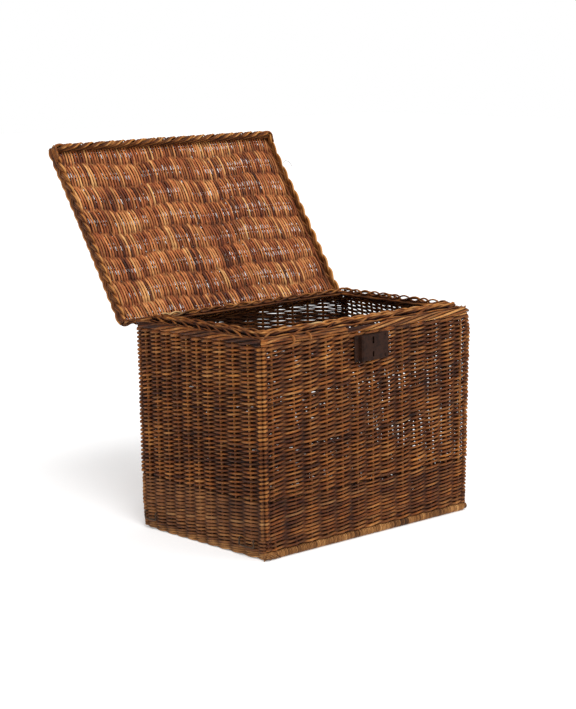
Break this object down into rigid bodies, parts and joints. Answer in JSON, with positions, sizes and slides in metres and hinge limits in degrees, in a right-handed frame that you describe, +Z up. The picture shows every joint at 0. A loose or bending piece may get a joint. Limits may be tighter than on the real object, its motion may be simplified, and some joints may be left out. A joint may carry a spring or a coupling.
{
  "type": "wicker storage trunk",
  "caption": "Rectangular woven willow trunk with a raised inner ledge, a tray lid on tie hinges leaning open, and a box lock on the front.",
  "frame": {"origin": "centre of the underside of the base, on the surface that the trunk stands on", "axes": "+X along the front to the right, +Y from the front to the back, +Z up"},
  "size_m": [0.686, 0.7555, 0.8821],
  "materials": {
    "willow_weave": "buff willow rods, aged and polished by handling, satin",
    "willow_lower_band": "greyer, drier willow rods, packed close",
    "willow_base": "pale tan rods wrapped round thick sticks, dry",
    "willow_stick": "dark round willow sticks, satin",
    "willow_post": "golden rods wrapped round the corner posts, satin",
    "willow_border": "thick rods twisted into a rope border, satin",
    "willow_ledge": "thin rods woven open and plaited, satin",
    "willow_lid": "orange-brown rods, closely woven, dry",
    "willow_lid_border": "thick rods plaited into a rope border, satin",
    "cane_tie": "split cane, frayed",
    "rusty_iron": "dark brown rusted sheet iron",
    "steel_wire": "dull grey wire, tarnished"
  },
  "bodies": {
    "trunk": {"base_weave": "willow_base", "base_stick_front": "willow_base", "base_stick_back": "willow_base", "base_border_left": "willow_base", "base_border_right": "willow_base", "base_stick_1": "willow_stick", "base_stick_2": "willow_stick", "base_stick_3": "willow_stick", "base_stick_4": "willow_stick", "base_stick_5": "willow_stick", "base_stick_6": "willow_stick", "corner_post_front_left": "willow_post", "corner_post_front_right": "willow_post", "corner_post_back_left": "willow_post", "corner_post_back_right": "willow_post", "front_lower_band": "willow_lower_band", "back_lower_band": "willow_lower_band", "left_lower_band": "willow_lower_band", "right_lower_band": "willow_lower_band", "front_upper_weave": "willow_weave", "back_upper_weave": "willow_weave", "left_upper_weave": "willow_weave", "right_upper_weave": "willow_weave", "front_stakes": "willow_border", "back_stakes": "willow_border", "left_stakes": "willow_border", "right_stakes": "willow_border", "front_ledge": "willow_ledge", "back_ledge": "willow_ledge", "left_ledge": "willow_ledge", "right_ledge": "willow_ledge", "hinge_tie_left": "cane_tie", "hinge_tie_right": "cane_tie", "lock_plate": "rusty_iron", "lock_case": "rusty_iron", "lock_key_pin": "rusty_iron", "lock_rivet_1": "rusty_iron", "lock_rivet_2": "rusty_iron", "lock_rivet_3": "rusty_iron", "lock_rivet_4": "rusty_iron", "wire_staple_left_front": "steel_wire", "wire_staple_left_back": "steel_wire", "wire_staple_right_front": "steel_wire", "wire_staple_right_back": "steel_wire"},
    "lid": {"hasp_lashing": "cane_tie", "lid_weave": "willow_lid", "lid_stick_1": "willow_stick", "lid_stick_2": "willow_stick", "lid_stick_3": "willow_stick", "lid_stick_4": "willow_stick", "lid_stick_5": "willow_stick", "lid_stick_6": "willow_stick", "lid_stick_7": "willow_stick", "lid_stick_8": "willow_stick", "lid_border_front": "willow_lid_border", "lid_border_back": "willow_lid_border", "lid_border_left": "willow_lid_border", "lid_border_right": "willow_lid_border"},
    "lock_bolt": {"lock_bolt": "rusty_iron"}
  },
  "joints": [
    {"name": "lid_hinge", "type": "hinge", "parent": "trunk", "child": "lid", "pos_m": [0, 0.2341, 0.4852], "axis": [1, 0, 0], "range_deg": [0, 123.5]},
    {"name": "bolt_slide", "type": "slide", "parent": "trunk", "child": "lock_bolt", "axis": [1, 0, 0], "range_m": [0, 0.0115]}
  ]
}
